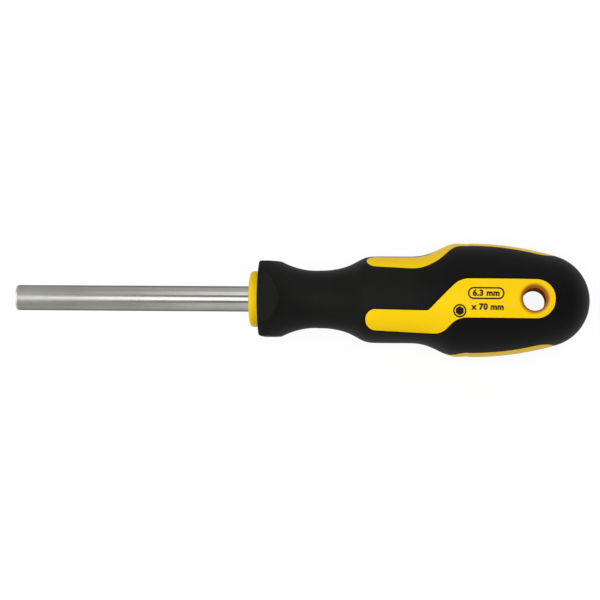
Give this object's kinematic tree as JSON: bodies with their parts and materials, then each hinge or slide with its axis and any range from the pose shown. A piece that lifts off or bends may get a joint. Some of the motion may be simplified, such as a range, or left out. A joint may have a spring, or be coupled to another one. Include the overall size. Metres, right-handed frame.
{
  "type": "magnetic bit screwdriver",
  "caption": "Screwdriver with a magnetic hexagon bit socket on a plated shank and an overmoulded two-colour handle with S-shaped pads, flats against rolling and a hanging hole.",
  "frame": {"origin": "middle of the bit socket's mouth, on the tool's axis", "axes": "+X along the tool from the socket's mouth to the butt, +Z out of the front of the handle along the hanging hole, +Y completes the right-handed set"},
  "size_m": [0.1743, 0.0342, 0.0342],
  "materials": {
    "plated_steel": "satin nickel-chrome plating",
    "magnet": "nickel-plated magnet face",
    "core_plastic": "as moulded, hidden",
    "hard_plastic": "semi-gloss moulded yellow",
    "soft_plastic": "fine matt soft-touch elastomer"
  },
  "bodies": {
    "root": {"shank": "plated_steel", "socket_magnet": "magnet", "handle_core": "core_plastic", "hard_shell": "hard_plastic", "soft_grip": "soft_plastic"}
  },
  "joints": []
}
